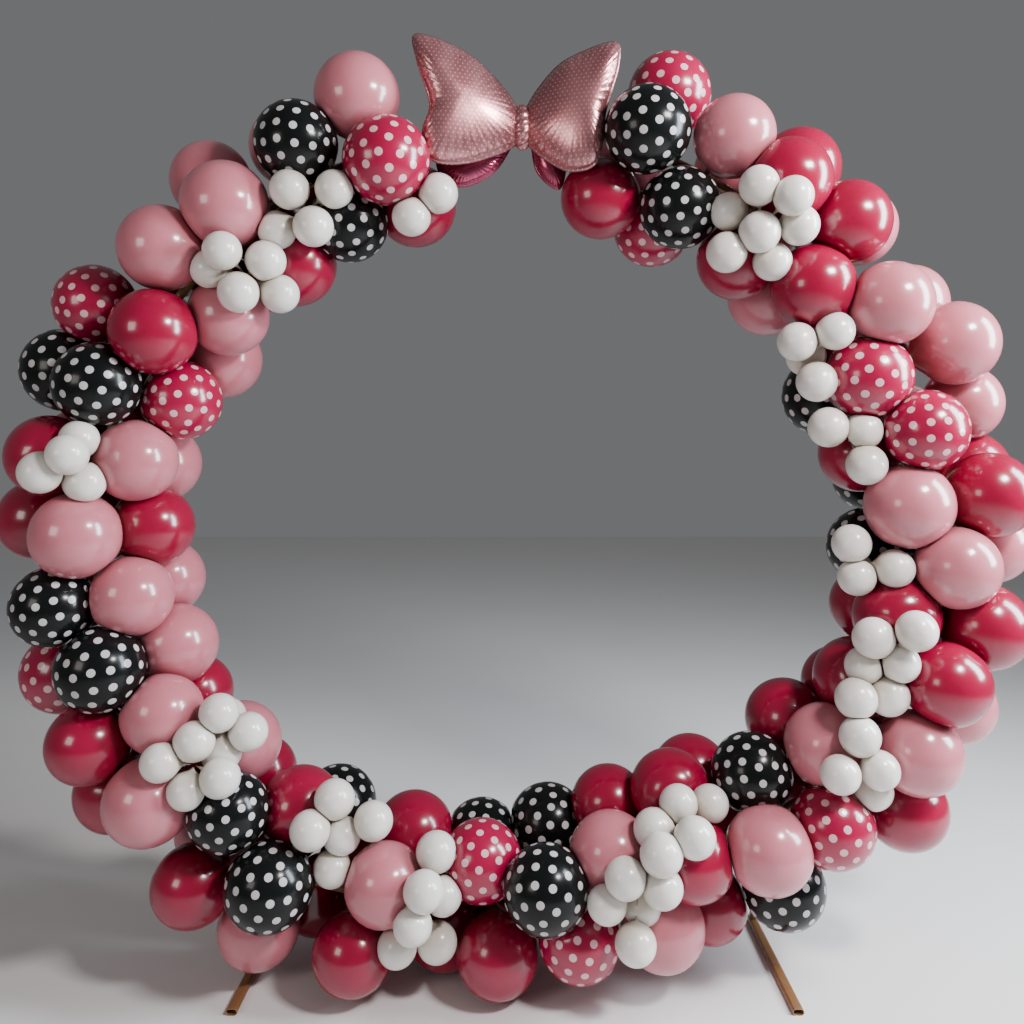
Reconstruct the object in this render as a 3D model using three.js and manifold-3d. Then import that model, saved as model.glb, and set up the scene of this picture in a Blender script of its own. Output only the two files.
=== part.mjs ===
// A balloon hoop: latex balloons tied in fours round an oval tube hoop that stands on two feet, with
// little white balloons tucked into its front and a foil bow at the top. Millimetres, +Z up, and the
// hoop is seen from the front looking along +Y.

import * as THREE from 'three';
import { mergeVertices } from 'three/addons/utils/BufferGeometryUtils.js';
import Module from 'manifold-3d';

const wasm = await Module();
wasm.setup();

// Driving sizes
const touchGap = 0.3;
const floorClearance = 4;

const hoopMiddleHeight = 1320;
const hoopTubeRadius = 12.5;
const hoopTubeSides = 5;
const hoopTubeSteps = 72;
const hoopTubeEase = 1.9;

const balloonRadius = 114;
const balloonRadiusSpread = 4;
const reachAcross = 172;
const reachDepth = 150;
const balloonSides = 5;
const facetSwell = 1.08;
const facetRings = [50, 100];
const shoulderRing = 150;
const shoulderSides = 3;

const whiteRadius = 53;
const whiteRadiusSpread = 2;
const whiteFacetSwell = 1.1;
const whiteSinkIn = 20;
const whiteFrontmost = 255;
const whiteRearmost = 130;

const collarRadius = 17;
const collarHalfLength = 10;

const footOffset = 755;
const footFront = -172;
const footBack = 300;
const footWidth = 31;
const footHeight = 18;
const footWall = 2;
const strutRadius = 12.5;
const strutSides = 6;
const clampEase = 2.6;
const clampWall = 4;
const clampHalfLength = 16;
const clampSides = 6;
const slotBends = 2;

// The hoop's line, as corners measured from its middle: across, then up. It starts at the bow and
// runs clockwise as seen from the front. It sags a little where the balloons weigh on it.
const hoopCorners = [
  [0, 1115], [555, 960], [985, 570], [1190, 0], [1060, -610], [545, -940],
  [0, -1060], [-595, -1035], [-1050, -605], [-1200, 0], [-995, 575], [-555, 965],
];
const hoopLine = new THREE.CatmullRomCurve3(
  hoopCorners.map(([across, up]) => new THREE.Vector3(across, 0, hoopMiddleHeight + up)),
  true,
  'centripetal',
);
hoopLine.arcLengthDivisions = 2400;
const hoopLength = hoopLine.getLength();
const forward = new THREE.Vector3(0, -1, 0);

// A place on the hoop: its point, the way the tube runs, and the way that points out of the loop.
function stationAt(along) {
  const share = THREE.MathUtils.euclideanModulo(along / hoopLength, 1);
  const point = hoopLine.getPointAt(share);
  const tangent = hoopLine.getTangentAt(share);
  const outward = new THREE.Vector3(-tangent.z, 0, tangent.x);
  return { point, tangent, outward };
}

// Finishes
const finishes = {
  pink: { color: 0xd98f98, roughness: 0.3, metalness: 0 },
  red: { color: 0xb3122f, roughness: 0.25, metalness: 0 },
  dotted: { color: 0xc01a3c, roughness: 0.25, metalness: 0 },
  black: { color: 0x101014, roughness: 0.2, metalness: 0 },
  white: { color: 0xeeeae2, roughness: 0.3, metalness: 0 },
  rose: { color: 0xb0656b, roughness: 0.3, metalness: 0.6 },
  magenta: { color: 0xa8163f, roughness: 0.25, metalness: 0.7 },
  tube: { color: 0x8a5a1e, roughness: 0.5, metalness: 0.4 },
};
const pink = 'pink';
const red = 'red';
const dotted = 'dotted';
const black = 'black';

function namedMesh(name, geometry, finish) {
  const mesh = new THREE.Mesh(geometry, new THREE.MeshStandardMaterial(finishes[finish]));
  mesh.name = name;
  return mesh;
}

// Solids: triangles to and from the form that is joined and cut
function weld(geometry) {
  const bare = geometry.index ? geometry.toNonIndexed() : geometry.clone();
  bare.deleteAttribute('normal');
  bare.deleteAttribute('uv');
  return mergeVertices(bare, 1e-3);
}

function solidOf(geometry) {
  const welded = weld(geometry);
  return new wasm.Manifold(new wasm.Mesh({
    numProp: 3,
    vertProperties: new Float32Array(welded.attributes.position.array),
    triVerts: new Uint32Array(welded.index.array),
  }));
}

function geometryOf(solid) {
  const mesh = solid.getMesh();
  const geometry = new THREE.BufferGeometry();
  geometry.setAttribute('position', new THREE.BufferAttribute(mesh.vertProperties, 3));
  geometry.setIndex(new THREE.BufferAttribute(mesh.triVerts, 1));
  return geometry;
}

function joined(geometries) {
  return geometryOf(geometries.map(solidOf).reduce((sum, solid) => sum.add(solid)));
}

// A straight bar of the given section along the line from one point to another.
function bar(from, to, radius, sides) {
  const length = from.distanceTo(to);
  const geometry = new THREE.CylinderGeometry(radius, radius, length, sides);
  const turn = new THREE.Quaternion().setFromUnitVectors(
    new THREE.Vector3(0, 1, 0),
    to.clone().sub(from).normalize(),
  );
  geometry.applyQuaternion(turn);
  const middle = from.clone().add(to).multiplyScalar(0.5);
  geometry.translate(middle.x, middle.y, middle.z);
  return geometry;
}

// The garland's recipe. Each cluster is tied at a place along the hoop, and each of its balloons has
// a finish, a turn round the tube in degrees (0 faces the front, 90 points out of the loop, -90 into
// it) and a slip along the tube.
const recipe = [
  [350, [red, -90, -50], [black, 0, 15], [dotted, 90, 40], [pink, 180, 0]],
  [560, [dotted, -106, -105], [black, -55, -20], [pink, 30, 20], [pink, 150, 105]],
  [780, [red, -72, 5], [red, 20, 0], [red, 95, -10], [pink, 180, 0]],
  [965, [pink, -140, 0], [red, -35, 40], [red, 30, -40], [pink, 102, 15]],
  [1190, [red, -145, -10], [pink, 5, -10], [pink, 120, 60]],
  [1350, [black, -120, 0], [dotted, -35, -20], [pink, 80, 20], [red, 170, 0]],
  [1510, [red, -110, 0], [dotted, -15, 0], [pink, 95, -20], [pink, 175, 0]],
  [1690, [black, -162, -110], [pink, -45, 50], [red, 38, 40], [red, 114, -45]],
  [1885, [black, -90, -20], [pink, -3, 30], [pink, 95, -20], [red, 180, 0]],
  [2070, [red, -135, 0], [red, -46, 0], [red, 34, 5], [pink, 135, 0]],
  [2240, [red, -75, 80], [red, 5, -40], [pink, 105, 40], [pink, 180, 0]],
  [2414, [red, -130, 0], [pink, 10, 0], [pink, 140, 40]],
  [2560, [red, -140, 0], [pink, -50, 25], [red, 66, -30]],
  [2715, [dotted, 7, -10], [pink, 125, -20], [red, -170, -10]],
  [2875, [black, -60, -40], [pink, -12, 60], [black, 98, 5], [red, 180, 0]],
  [3075, [red, -150, -100], [red, -85, 40], [red, -20, -40], [red, 95, 10]],
  [3270, [red, -95, -30], [pink, -41, 40], [pink, 45, -55], [red, 170, 0]],
  [3480, [black, -130, 20], [black, -25, 40], [dotted, 34, -45], [red, 140, 0]],
  [3665, [black, -140, 0], [dotted, -40, -15], [red, 50, -10], [red, 140, 0]],
  [3815, [red, -150, 40], [red, 108, -50], [pink, 180, 0]],
  [3990, [red, -150, 45], [pink, -31, -40], [red, 40, 35], [pink, 140, 0]],
  [4147, [black, -150, -10], [red, 150, 20]],
  [4290, [red, -75, 30], [black, -10, -10], [pink, 80, -40], [red, 170, 0]],
  [4465, [red, -178, 30], [black, -35, 30], [red, 60, -30], [pink, 175, 0]],
  [4670, [pink, -120, -60], [pink, 12, 0], [red, 100, 85], [red, 180, 0]],
  [4855, [red, -137, 0], [pink, -41, 0], [red, 35, 20], [black, 130, 0]],
  [5043, [pink, -90, -20], [black, -9, 0], [dotted, 100, 10], [red, 180, 0]],
  [5235, [pink, -120, 15], [pink, -50, -10], [black, 20, 0], [red, 135, 0]],
  [5431, [red, -75, 0], [pink, -12, -10], [red, 110, 10], [red, 175, 0]],
  [5635, [pink, -135, 5], [pink, -50, 20], [red, 30, -20], [red, 135, 0]],
  [5843, [dotted, -80, 35], [black, 4, -10], [black, 80, -20], [red, 180, 0]],
  [6020, [pink, -115, 0], [red, -22, 20], [dotted, 74, -20], [red, 160, 0]],
  [6205, [red, -155, 0], [pink, -65, -20], [pink, 22, 20], [red, 140, 0]],
  [6440, [red, -85, 40], [pink, 9, -20], [pink, 95, -20], [red, 180, 0]],
  [6675, [red, -170, 0], [black, -80, 5], [black, 21, -10], [pink, 120, -40]],
  [6870, [red, -95, 20], [dotted, -24, 0], [pink, 36, -15], [pink, 170, 0]],
];

const frontTurn = 100;
const balloons = [];
for (const [cluster, [along, ...tied]] of recipe.entries()) {
  for (const [finish, turn, slip] of tied) {
    const { point, outward } = stationAt(along + slip);
    const angle = THREE.MathUtils.degToRad(turn);
    const home = point
      .addScaledVector(outward, reachAcross * Math.sin(angle))
      .addScaledVector(forward, reachDepth * Math.cos(angle));
    const radius = balloonRadius + balloonRadiusSpread * Math.sin(7 * balloons.length);
    const inFront = Math.abs(turn) < frontTurn;
    balloons.push({ cluster, finish, turn, inFront, radius, home, centre: home.clone() });
  }
}

// The feet: each is a floor tube from front to back, with a strut from its back end up to the hoop.
function footLines(side) {
  let along = hoopLength / 2;
  while (Math.abs(stationAt(along).point.x) < footOffset) along -= side;
  const top = stationAt(along).point;
  const back = new THREE.Vector3(top.x, footBack - strutRadius, footHeight / 2);
  const front = new THREE.Vector3(top.x, footFront, footHeight / 2);
  return { side, along, top, back, strut: new THREE.Line3(back, top), floorTube: new THREE.Line3(front, back) };
}
const feet = [1, -1].map(footLines);

// A coarse copy of the hoop's line, to find the place on it nearest to a balloon.
const hoopSampleCount = 360;
const hoopSamples = Array.from({ length: hoopSampleCount }, (_, step) => ({
  along: hoopLength * step / hoopSampleCount,
  point: hoopLine.getPointAt(step / hoopSampleCount),
}));

function nearestOnHoop(place) {
  return hoopSamples.reduce((best, sample) =>
    (sample.point.distanceToSquared(place) < best.point.distanceToSquared(place) ? sample : best));
}

// What a balloon may not press into: the nearest place on each tube, and how thick it is there.
const hoopRoom = hoopTubeRadius + 7;

function obstaclesNear(place) {
  const nearestOn = (line) => line.closestPointToPoint(place, true, new THREE.Vector3());
  return [
    { point: nearestOnHoop(place).point, thickness: hoopRoom },
    ...feet.map(({ strut }) => ({ point: nearestOn(strut), thickness: strutRadius + touchGap })),
    ...feet.map(({ floorTube }) => ({ point: nearestOn(floorTube), thickness: footWidth / 2 + touchGap })),
  ];
}

// Balloons press on each other until they find room, as they do when the garland is pushed together.
// Those in front hold their places, and those behind give way.
function pressApart(one, other, squeeze) {
  const way = other.centre.clone().sub(one.centre);
  const shortBy = squeeze * (one.radius + other.radius) - way.length();
  if (shortBy <= 0) return;
  const share = shortBy / (one.gives + other.gives);
  way.normalize();
  one.centre.addScaledVector(way, -share * one.gives);
  other.centre.addScaledVector(way, share * other.gives);
}

function settle(movers, held, squeeze, rounds) {
  for (let round = 0; round < rounds; round += 1) {
    for (const ball of movers) {
      ball.centre.add(ball.home.clone().sub(ball.centre).multiply(ball.keepsPlace));
    }
    for (const [index, one] of movers.entries()) {
      for (const other of [...movers.slice(index + 1), ...held]) pressApart(one, other, squeeze);
    }
    for (const ball of movers) {
      for (const { point, thickness } of obstaclesNear(ball.centre)) {
        const way = ball.centre.clone().sub(point);
        const shortBy = ball.radius + thickness - way.length();
        if (shortBy > 0) ball.centre.addScaledVector(way.normalize(), shortBy);
      }
      ball.centre.z = Math.max(ball.centre.z, ball.radius + floorClearance);
    }
  }
  for (const ball of movers) ball.gives = 0;
}

for (const ball of balloons) {
  ball.gives = ball.inFront ? 0.3 : 0.7;
  ball.keepsPlace = ball.inFront ? new THREE.Vector3(0.5, 0.2, 0.5) : new THREE.Vector3(0.05, 0.05, 0.05);
}
settle(balloons, [], 0.9, 90);

// Little white balloons, as flowers of a few tied together: each one's place along the hoop and out
// from the tube's line. They are pressed straight back against the garland until they rest on it.
const flowers = [
  [[6590, -55], [6700, -110], [6490, -110], [6590, -165]],
  [[6990, -205], [6885, -245]],
  [[6335, -85], [6275, -70], [6410, -165], [6285, -180], [6375, -240]],
  [[5675, -10], [5635, -15], [5605, 15], [5575, -55]],
  [[4755, -265], [4725, -245], [4645, -280], [4650, -200]],
  [[4730, -180], [4740, -95], [4630, -95], [4595, -185]],
  [[4215, -290], [4245, -210], [4120, -205], [4120, -115], [4000, -260]],
  [[3795, -180], [3820, -115], [3780, -80], [3860, -30], [3910, 60], [3810, 70]],
  [[3285, -110], [3345, -45], [3260, 20], [3290, 60], [3170, -155], [3190, -65]],
  [[3080, -205], [2985, -165], [3065, -155], [3155, -175]],
  [[2490, -160], [2620, -125], [2525, -60], [2570, -10]],
  [[2140, -225], [2085, -140], [2265, -210], [2200, -145], [2345, -215], [2310, -140]],
  [[1850, -280], [1950, -265], [1920, -170]],
  [[1560, -215], [1415, -270], [1475, -195]],
  [[1145, -150], [1110, -240], [1170, -225], [1250, -250]],
  [[710, -35], [670, -110], [845, -45], [785, -130], [735, -205], [845, -145], [770, -25]],
];

function restingDepth(place, radius) {
  const depths = balloons.map(({ centre, radius: otherRadius }) => {
    const aside = Math.hypot(centre.x - place.x, centre.z - place.z);
    const meeting = radius + otherRadius - whiteSinkIn;
    return aside < meeting ? centre.y - Math.sqrt(meeting ** 2 - aside ** 2) : -whiteRearmost;
  });
  return Math.max(Math.min(-whiteRearmost, ...depths), -whiteFrontmost);
}

const whites = [];
for (const [flower, places] of flowers.entries()) {
  for (const [along, out] of places) {
    const { point, outward } = stationAt(along);
    const radius = whiteRadius + whiteRadiusSpread * Math.sin(5 * whites.length);
    const home = point.addScaledVector(outward, out);
    home.y = restingDepth(home, radius);
    const keepsPlace = new THREE.Vector3(0.4, 0.1, 0.4);
    whites.push({ flower, radius, home, centre: home.clone(), gives: 1, keepsPlace });
  }
}
settle(whites, balloons, 0.88, 40);

// Where two balloons meet, each is flat against the plane between them.
function contactPlanes(ball, others) {
  const planes = [];
  for (const other of others) {
    const way = other.centre.clone().sub(ball.centre);
    const distance = way.length();
    const reach = 1.2 * (ball.radius + other.radius);
    if (other !== ball && distance < reach) {
      const gain = (ball.radius ** 2 - other.radius ** 2) / distance;
      planes.push({ way: way.normalize(), at: (distance + gain - touchGap) / 2 });
    }
  }
  return planes;
}

function cellOf(ball, others) {
  const planes = contactPlanes(ball, others);
  planes.push({ way: new THREE.Vector3(0, 0, -1), at: ball.centre.z - floorClearance });
  for (const { point, thickness } of obstaclesNear(ball.centre)) {
    const way = point.clone().sub(ball.centre);
    const distance = way.length();
    planes.push({ way: way.normalize(), at: distance - thickness });
  }
  return planes;
}

function pressedRadius(direction, radius, cell) {
  let pressed = radius;
  for (const { way, at } of cell) {
    const slope = direction.dot(way);
    if (slope > 0) pressed = Math.min(pressed, at / slope);
  }
  return pressed;
}

const everyBall = [...balloons, ...whites];

function geometryFrom(points, triangles) {
  const geometry = new THREE.BufferGeometry().setFromPoints(points);
  geometry.setIndex(triangles.flat());
  return geometry;
}

// One balloon of a cluster: staggered rings of facets from its crown down to its shoulders, and then
// a neck that narrows to its own side of the collar, whose corner points are given.
function balloonGeometry(ball, collarCentre, neckEnd) {
  const axis = ball.centre.clone().sub(collarCentre).normalize();
  const side = new THREE.Vector3().crossVectors(axis, forward.clone().add(axis.clone().cross(forward)));
  side.normalize();
  const across = new THREE.Vector3().crossVectors(axis, side);
  const cell = cellOf(ball, everyBall);

  const points = [];
  const triangles = [];
  const addPoint = (polarDegrees, turn) => {
    const polar = THREE.MathUtils.degToRad(polarDegrees);
    const direction = axis.clone().multiplyScalar(Math.cos(polar))
      .addScaledVector(side, Math.sin(polar) * Math.cos(turn))
      .addScaledVector(across, Math.sin(polar) * Math.sin(turn));
    const radius = pressedRadius(direction, ball.radius * facetSwell, cell);
    return points.push(ball.centre.clone().addScaledVector(direction, radius)) - 1;
  };
  const ringOf = (polarDegrees, sides, shift) => Array.from({ length: sides }, (_, step) =>
    addPoint(polarDegrees, 2 * Math.PI * (step + shift) / sides));
  const crown = addPoint(0, 0);
  const [upper, lower] = facetRings.map((polar, ring) => ringOf(polar, balloonSides, ring / 2));
  const shoulder = ringOf(shoulderRing, shoulderSides, 0);
  const neck = neckEnd.map((corner) => points.push(corner) - 1);

  for (let step = 0; step < balloonSides; step += 1) {
    const next = (step + 1) % balloonSides;
    triangles.push([crown, upper[step], upper[next]]);
    triangles.push([upper[step], lower[step], upper[next]]);
    triangles.push([upper[next], lower[step], lower[next]]);
  }
  stitch(points, triangles, lower, shoulder, ball.centre, side, across);
  stitch(points, triangles, shoulder, neck, ball.centre, side, across);
  triangles.push([neck[0], neck[2], neck[1]], [neck[0], neck[3], neck[2]]);
  return geometryFrom(points, triangles);
}

// Joins two loops of points that run the same way round, always by the shorter next step.
function stitch(points, triangles, upper, lower, centre, side, across) {
  const angleOf = (index) => {
    const arm = points[index].clone().sub(centre);
    return Math.atan2(arm.dot(across), arm.dot(side));
  };
  const turned = (loop) => {
    const angles = loop.map(angleOf);
    const first = angles.indexOf(Math.min(...angles));
    return [...loop.slice(first), ...loop.slice(0, first)];
  };
  const top = turned(upper);
  const bottom = turned(lower);
  let i = 0;
  let j = 0;
  const angleAfter = (loop, step) =>
    angleOf(loop[step % loop.length]) + (step >= loop.length ? 2 * Math.PI : 0);
  while (i < top.length || j < bottom.length) {
    const stepTop = i < top.length
      && (j === bottom.length || angleAfter(top, i + 1) <= angleAfter(bottom, j + 1));
    const here = top[i % top.length];
    const below = bottom[j % bottom.length];
    if (stepTop) {
      triangles.push([here, below, top[(i + 1) % top.length]]);
      i += 1;
    } else {
      triangles.push([here, below, bottom[(j + 1) % bottom.length]]);
      j += 1;
    }
  }
}

// A cluster: balloons tied neck to neck on a collar of knotted necks round the tube. The collar has a
// flat side for each balloon, and spare sides where the ring of balloons is open.
const widestSide = THREE.MathUtils.degToRad(100);

function collarSides(station, tied) {
  const sides = tied.map((ball) => {
    const arm = ball.centre.clone().sub(station.point);
    return { ball, angle: Math.atan2(arm.dot(station.outward), arm.dot(forward)) };
  }).sort((one, other) => one.angle - other.angle);
  const all = [];
  for (const [index, side] of sides.entries()) {
    all.push(side);
    const next = sides[(index + 1) % sides.length].angle + (index === sides.length - 1 ? 2 * Math.PI : 0);
    const spare = Math.ceil((next - side.angle) / widestSide) - 1;
    for (let step = 1; step <= spare; step += 1) {
      all.push({ angle: side.angle + (next - side.angle) * step / (spare + 1) });
    }
  }
  return all;
}

// The collar is tied where its own balloons are, on the middle of their places along the hoop.
function collarPlace(along, tied) {
  const shifts = tied.map(({ centre }) => {
    const ahead = (nearestOnHoop(centre).along - along) / hoopLength;
    return hoopLength * (ahead - Math.round(ahead));
  });
  return along + shifts.reduce((sum, shift) => sum + shift) / shifts.length;
}

function clusterGeometry(along, tied) {
  const station = stationAt(collarPlace(along, tied));
  const sides = collarSides(station, tied);
  const points = [];
  const triangles = [];
  const tiedOn = [];
  const count = sides.length;

  // Four points at each corner: inner and outer, at both ends of the collar
  const innerRadius = hoopTubeRadius + hoopTubeEase;
  for (const [index, side] of sides.entries()) {
    const next = sides[(index + 1) % count].angle + (index === count - 1 ? 2 * Math.PI : 0);
    const half = (next - side.angle) / 2;
    const corner = station.outward.clone().multiplyScalar(Math.sin(side.angle + half))
      .addScaledVector(forward, Math.cos(side.angle + half));
    const stretch = 1 / Math.cos(half);
    for (const radius of [innerRadius * stretch, collarRadius * stretch]) {
      for (const end of [-collarHalfLength, collarHalfLength]) {
        points.push(station.point.clone()
          .addScaledVector(corner, radius)
          .addScaledVector(station.tangent, end));
      }
    }
  }
  const inner = (corner, end) => 4 * ((corner + count) % count) + end;
  const outer = (corner, end) => 4 * ((corner + count) % count) + 2 + end;
  const quad = (a, b, c, d) => triangles.push([a, b, c], [a, c, d]);
  for (const [index, side] of sides.entries()) {
    quad(inner(index - 1, 0), inner(index, 0), inner(index, 1), inner(index - 1, 1));
    quad(inner(index - 1, 1), inner(index, 1), outer(index, 1), outer(index - 1, 1));
    quad(inner(index, 0), inner(index - 1, 0), outer(index - 1, 0), outer(index, 0));
    const face = [outer(index - 1, 0), outer(index - 1, 1), outer(index, 1), outer(index, 0)];
    quad(...face);
    if (side.ball) {
      tiedOn.push(balloonGeometry(side.ball, station.point, face.map((corner) => points[corner])));
    }
  }
  return joined([geometryFrom(points, triangles), ...tiedOn]);
}

const group = new THREE.Group();
for (const [cluster, [along, ...tied]] of recipe.entries()) {
  const own = balloons.filter((ball) => ball.cluster === cluster);
  const name = `balloon_cluster_${String(cluster + 1).padStart(2, '0')}`;
  group.add(namedMesh(name, clusterGeometry(along, own), tied[1][0]));
}

// A white flower: small balls, each held to its nearest neighbour by a short tie between them.
const tieRadius = 4;

function whiteBall(ball) {
  const geometry = weld(new THREE.IcosahedronGeometry(1, 0));
  const position = geometry.attributes.position;
  const cell = cellOf(ball, everyBall);
  const direction = new THREE.Vector3();
  for (let index = 0; index < position.count; index += 1) {
    direction.fromBufferAttribute(position, index).normalize();
    const radius = pressedRadius(direction, ball.radius * whiteFacetSwell, cell);
    position.setXYZ(index, ...direction.multiplyScalar(radius).add(ball.centre));
  }
  return geometry;
}

function flowerGeometry(balls) {
  const pieces = balls.map(whiteBall);
  const linked = [balls[0]];
  const waiting = balls.slice(1);
  while (waiting.length > 0) {
    const pairs = waiting.flatMap((ball) => linked.map((anchor) => ({ ball, anchor })));
    const gap = ({ ball, anchor }) => ball.centre.distanceTo(anchor.centre);
    const { ball, anchor } = pairs.reduce((best, pair) => (gap(pair) < gap(best) ? pair : best));
    pieces.push(bar(ball.centre, anchor.centre, tieRadius, 3));
    linked.push(ball);
    waiting.splice(waiting.indexOf(ball), 1);
  }
  return joined(pieces);
}

for (const flower of flowers.keys()) {
  const own = whites.filter((ball) => ball.flower === flower);
  const name = `white_flower_${String(flower + 1).padStart(2, '0')}`;
  group.add(namedMesh(name, flowerGeometry(own), 'white'));
}

// The hoop: one closed loop of round tube.
const hoopGeometry = new THREE.TubeGeometry(hoopLine, hoopTubeSteps, hoopTubeRadius, hoopTubeSides, true);
group.add(namedMesh('hoop_tube', weld(hoopGeometry), 'tube'));

// A foot: a flat oval floor tube that is open at both ends, with a strut from its back end up to a
// clamp round the hoop.
function roundedSlot(width, height) {
  const bend = height / 2;
  const reach = width / 2 - bend;
  const shape = new THREE.Shape();
  shape.absarc(reach, 0, bend, -Math.PI / 2, Math.PI / 2);
  shape.absarc(-reach, 0, bend, Math.PI / 2, 3 * Math.PI / 2);
  shape.closePath();
  return shape;
}

function footGeometry({ along, top, back }) {
  const shape = roundedSlot(footWidth, footHeight);
  shape.holes.push(roundedSlot(footWidth - 2 * footWall, footHeight - 2 * footWall));
  const floorTube = new THREE.ExtrudeGeometry(shape, {
    depth: footBack - footFront,
    bevelEnabled: false,
    curveSegments: slotBends,
  });
  floorTube.rotateX(Math.PI / 2);
  floorTube.translate(top.x, footBack, footHeight / 2);

  const inside = (hoopTubeRadius + clampEase) / Math.cos(Math.PI / clampSides);
  const outside = inside + clampWall;
  const clampProfile = [
    new THREE.Vector2(inside, -clampHalfLength),
    new THREE.Vector2(outside, -clampHalfLength),
    new THREE.Vector2(outside, clampHalfLength),
    new THREE.Vector2(inside, clampHalfLength),
    new THREE.Vector2(inside, -clampHalfLength),
  ];
  const clamp = new THREE.LatheGeometry(clampProfile, clampSides);
  clamp.applyQuaternion(new THREE.Quaternion().setFromUnitVectors(
    new THREE.Vector3(0, 1, 0),
    stationAt(along).tangent,
  ));
  clamp.translate(top.x, top.y, top.z);

  const way = top.clone().sub(back).normalize();
  const strutTop = top.clone().addScaledVector(way, -(inside + clampWall / 2));
  const strut = bar(back, strutTop, strutRadius, strutSides);
  return joined([floorTube, clamp, strut]);
}

for (const foot of feet) {
  group.add(namedMesh(foot.side > 0 ? 'foot_right' : 'foot_left', footGeometry(foot), 'tube'));
}

// The bow: foil film welded flat round its outline and puffed up with air. Two rose lobes and a
// pinched knot are in front of the tube, and two magenta lobes hang below and behind. Each outline is
// across and up from the knot's middle, and runs clockwise as seen from the front.
const bowKnot = new THREE.Vector3(20, -56, 2407);
const bowSteps = 12;
const bowBands = 5;
const roseHalfDepth = 55;
const roseSweep = 90;
const roseReach = 280;
const magentaHalfDepth = 30;
const magentaSetBack = 61;

const roseLeft = [
  [-14, -38], [-99, -91], [-184, -117], [-248, -108], [-266, -36], [-247, 37],
  [-280, 140], [-288, 213], [-200, 203], [-110, 155], [-14, 48],
];
const roseRight = [
  [14, 48], [84, 142], [150, 180], [249, 199], [258, 136], [223, 21],
  [220, -33], [200, -116], [144, -133], [90, -110], [14, -38],
];
const magentaLeft = [
  [-30, -22], [-60, -77], [-93, -112], [-143, -137], [-183, -143], [-220, -127],
  [-240, -77], [-205, -47], [-120, -27], [-40, 4],
];
const magentaRight = [
  [30, 4], [90, -32], [118, -67], [120, -107], [112, -142], [96, -150], [64, -126], [41, -89], [28, -22],
];

function puffed(outline, heart, halfDepth, depthAt) {
  const corners = outline.map(([across, up]) => new THREE.Vector3(across, 0, up));
  const rim = new THREE.CatmullRomCurve3(corners, true, 'centripetal');
  const geometry = new THREE.SphereGeometry(1, bowSteps, bowBands);
  const { position, uv } = geometry.attributes;
  for (let index = 0; index < position.count; index += 1) {
    const polar = Math.PI * (1 - uv.getY(index));
    const edge = rim.getPointAt(THREE.MathUtils.euclideanModulo(uv.getX(index), 1));
    const across = heart[0] + Math.sin(polar) * (edge.x - heart[0]);
    const up = heart[1] + Math.sin(polar) * (edge.z - heart[1]);
    position.setXYZ(
      index,
      bowKnot.x + across,
      bowKnot.y + depthAt(across) + halfDepth * Math.cos(polar),
      bowKnot.z + up,
    );
  }
  return geometry;
}

function roundedBlock(halfSize, place) {
  return new THREE.SphereGeometry(1, 8, 4).scale(...halfSize).translate(...place);
}

const roseDepthAt = (across) => -roseSweep * Math.abs(across) / roseReach;
const magentaDepthAt = () => magentaSetBack;
group.add(namedMesh('bow_front', joined([
  puffed(roseLeft, [-160, 50], roseHalfDepth, roseDepthAt),
  puffed(roseRight, [150, 40], roseHalfDepth, roseDepthAt),
  roundedBlock([31, 42, 64], bowKnot.toArray()),
]), 'rose'));
group.add(namedMesh('bow_back', joined([
  puffed(magentaLeft, [-150, -85], magentaHalfDepth, magentaDepthAt),
  puffed(magentaRight, [80, -85], magentaHalfDepth, magentaDepthAt),
  roundedBlock([60, 14, 20], [bowKnot.x - 2, bowKnot.y + magentaSetBack, bowKnot.z - 5]),
]), 'magenta'));

// The part's own frame: the middle of its footprint on the floor.
const extent = new THREE.Box3().setFromObject(group);
const middle = extent.getCenter(new THREE.Vector3());
group.position.set(-middle.x, -middle.y, -extent.min.z);

export default group;
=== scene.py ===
# A balloon hoop in its finished looks: latex balloons tied round a tube hoop, little white balloons
# tucked into its front, a puffed foil bow at the top and two feet on the floor. Metres, +Z up.

import math

import bmesh
import bpy
import numpy as np
from mathutils import Matrix, Vector


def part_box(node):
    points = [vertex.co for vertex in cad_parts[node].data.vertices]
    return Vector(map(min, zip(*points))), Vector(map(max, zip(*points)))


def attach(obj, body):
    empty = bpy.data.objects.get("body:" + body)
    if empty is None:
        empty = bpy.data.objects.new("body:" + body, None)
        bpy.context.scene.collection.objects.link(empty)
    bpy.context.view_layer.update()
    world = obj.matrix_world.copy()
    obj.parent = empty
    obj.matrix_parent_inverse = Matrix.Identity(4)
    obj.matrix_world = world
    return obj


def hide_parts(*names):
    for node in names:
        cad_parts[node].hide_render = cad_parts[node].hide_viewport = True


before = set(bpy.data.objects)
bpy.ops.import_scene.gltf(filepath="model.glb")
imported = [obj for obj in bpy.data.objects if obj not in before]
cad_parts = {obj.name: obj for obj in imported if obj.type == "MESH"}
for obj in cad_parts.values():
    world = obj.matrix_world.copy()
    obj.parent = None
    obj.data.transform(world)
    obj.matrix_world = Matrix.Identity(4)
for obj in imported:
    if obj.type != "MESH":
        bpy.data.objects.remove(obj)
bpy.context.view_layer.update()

# Camera: level and straight on, at chest height, two and a half metres in front of the hoop. The view
# is moved a little so that the hoop fills the picture.
eye_height = 1.52
eye_distance = 2.5
eye_aside = 0.0045
picture_width = 1024
focal_pixels = 874
horizon_pixel = 445
middle_pixel = 515
sensor_width = 36.0
tube_low, tube_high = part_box("hoop_tube")
tube_middle = (tube_low + tube_high) / 2

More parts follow.
